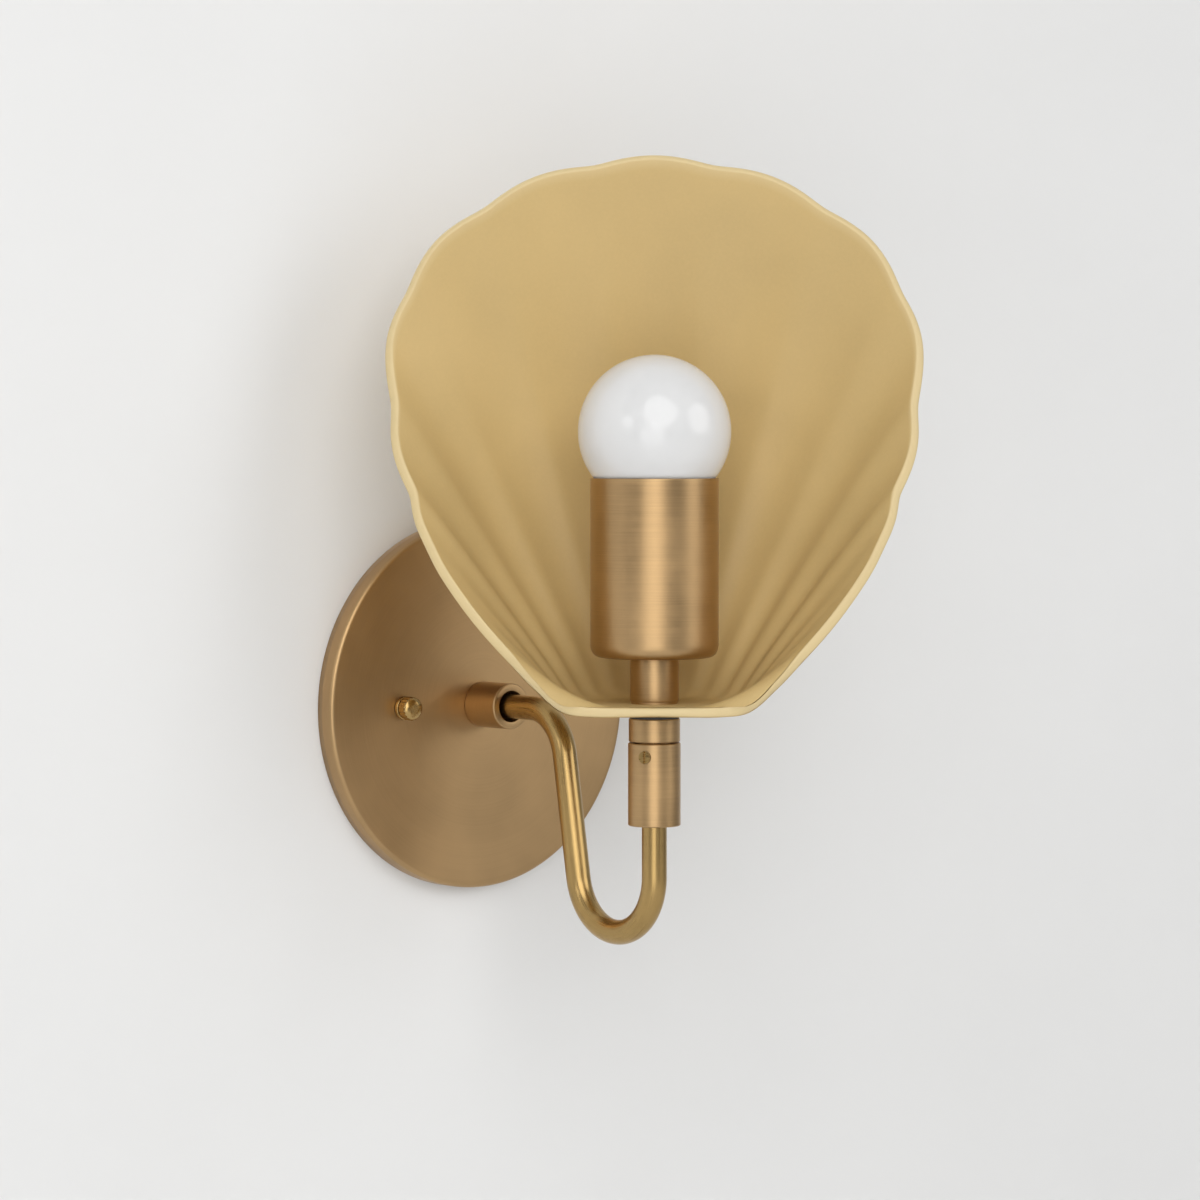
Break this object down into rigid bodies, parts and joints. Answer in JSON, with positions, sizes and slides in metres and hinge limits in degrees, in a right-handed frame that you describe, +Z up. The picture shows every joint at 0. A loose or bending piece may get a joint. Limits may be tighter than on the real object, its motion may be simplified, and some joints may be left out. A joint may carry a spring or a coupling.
{
  "type": "shell wall sconce",
  "caption": "Wall sconce with a fluted scallop shell shade that turns on a curved arm, an open socket cup and a globe bulb.",
  "frame": {"origin": "centre of the round canopy on the wall plane", "axes": "+Z up, +Y into the wall, -Y out into the room"},
  "size_m": [0.1391, 0.1577, 0.261],
  "materials": {
    "aged_brass": "brushed, oiled brass",
    "shell_glaze": "satin tan glaze",
    "bare_brass": "bright rolled brass",
    "plated_steel": "zinc plated",
    "dark_steel": "blackened",
    "ground_green": "green passivated",
    "nickel": "nickel plated",
    "opal_glass": "satin opal",
    "black_glass": "gloss",
    "porcelain": "glazed",
    "white_plastic": "satin",
    "circuit_green": "satin",
    "light_chip": "gloss",
    "rubber": "matt",
    "lead_black": "satin",
    "lead_white": "satin"
  },
  "bodies": {
    "bracket": {"crossbar": "plated_steel", "stud_screws": "plated_steel", "ground_screw": "ground_green", "canopy": "aged_brass", "wall_nipple": "plated_steel", "wall_lock_washer": "plated_steel", "wall_locknut": "plated_steel", "wall_collar": "aged_brass", "arm_tube": "aged_brass", "swivel_collar": "aged_brass", "lead_live_lower": "lead_black", "lead_neutral_lower": "lead_white"},
    "head": {"swivel_spindle": "aged_brass", "shade_gasket": "rubber", "shell_shade": "shell_glaze", "shade_washer": "aged_brass", "neck_spacer": "aged_brass", "head_nipple": "plated_steel", "socket_cup": "aged_brass", "cup_lock_washer": "plated_steel", "cup_locknut": "plated_steel", "lampholder_strap": "plated_steel", "lampholder_body": "porcelain", "terminal_screws": "plated_steel", "screw_shell": "bare_brass", "centre_contact": "bare_brass", "lead_live_upper": "lead_black", "lead_neutral_upper": "lead_white"},
    "bulb": {"bulb_globe": "opal_glass", "bulb_collar": "white_plastic", "light_board": "white_plastic", "light_chips": "light_chip", "driver_board": "circuit_green", "bulb_screw_cap": "nickel", "bulb_insulator": "black_glass", "bulb_tip_contact": "nickel"},
    "nut_left": {"cap_nut_left": "aged_brass"},
    "nut_right": {"cap_nut_right": "aged_brass"},
    "lock_screw": {"set_screw": "dark_steel"}
  },
  "joints": [
    {"name": "head_swivel", "type": "hinge", "parent": "bracket", "child": "head", "pos_m": [0, -0.1, 0], "axis": [0, 0, 1], "range_deg": [-130.5, 209.5]},
    {"name": "bulb_lift", "type": "slide", "parent": "head", "child": "bulb", "axis": [0, 0, 1], "range_m": [0, 0.045]},
    {"name": "nut_left_travel", "type": "slide", "parent": "bracket", "child": "nut_left", "axis": [0, -1, 0], "range_m": [0, 0.012]},
    {"name": "nut_right_travel", "type": "slide", "parent": "bracket", "child": "nut_right", "axis": [0, -1, 0], "range_m": [0, 0.012]},
    {"name": "set_screw_travel", "type": "slide", "parent": "bracket", "child": "lock_screw", "axis": [-0.8788, -0.4772, 0], "range_m": [0, 0.002]}
  ]
}
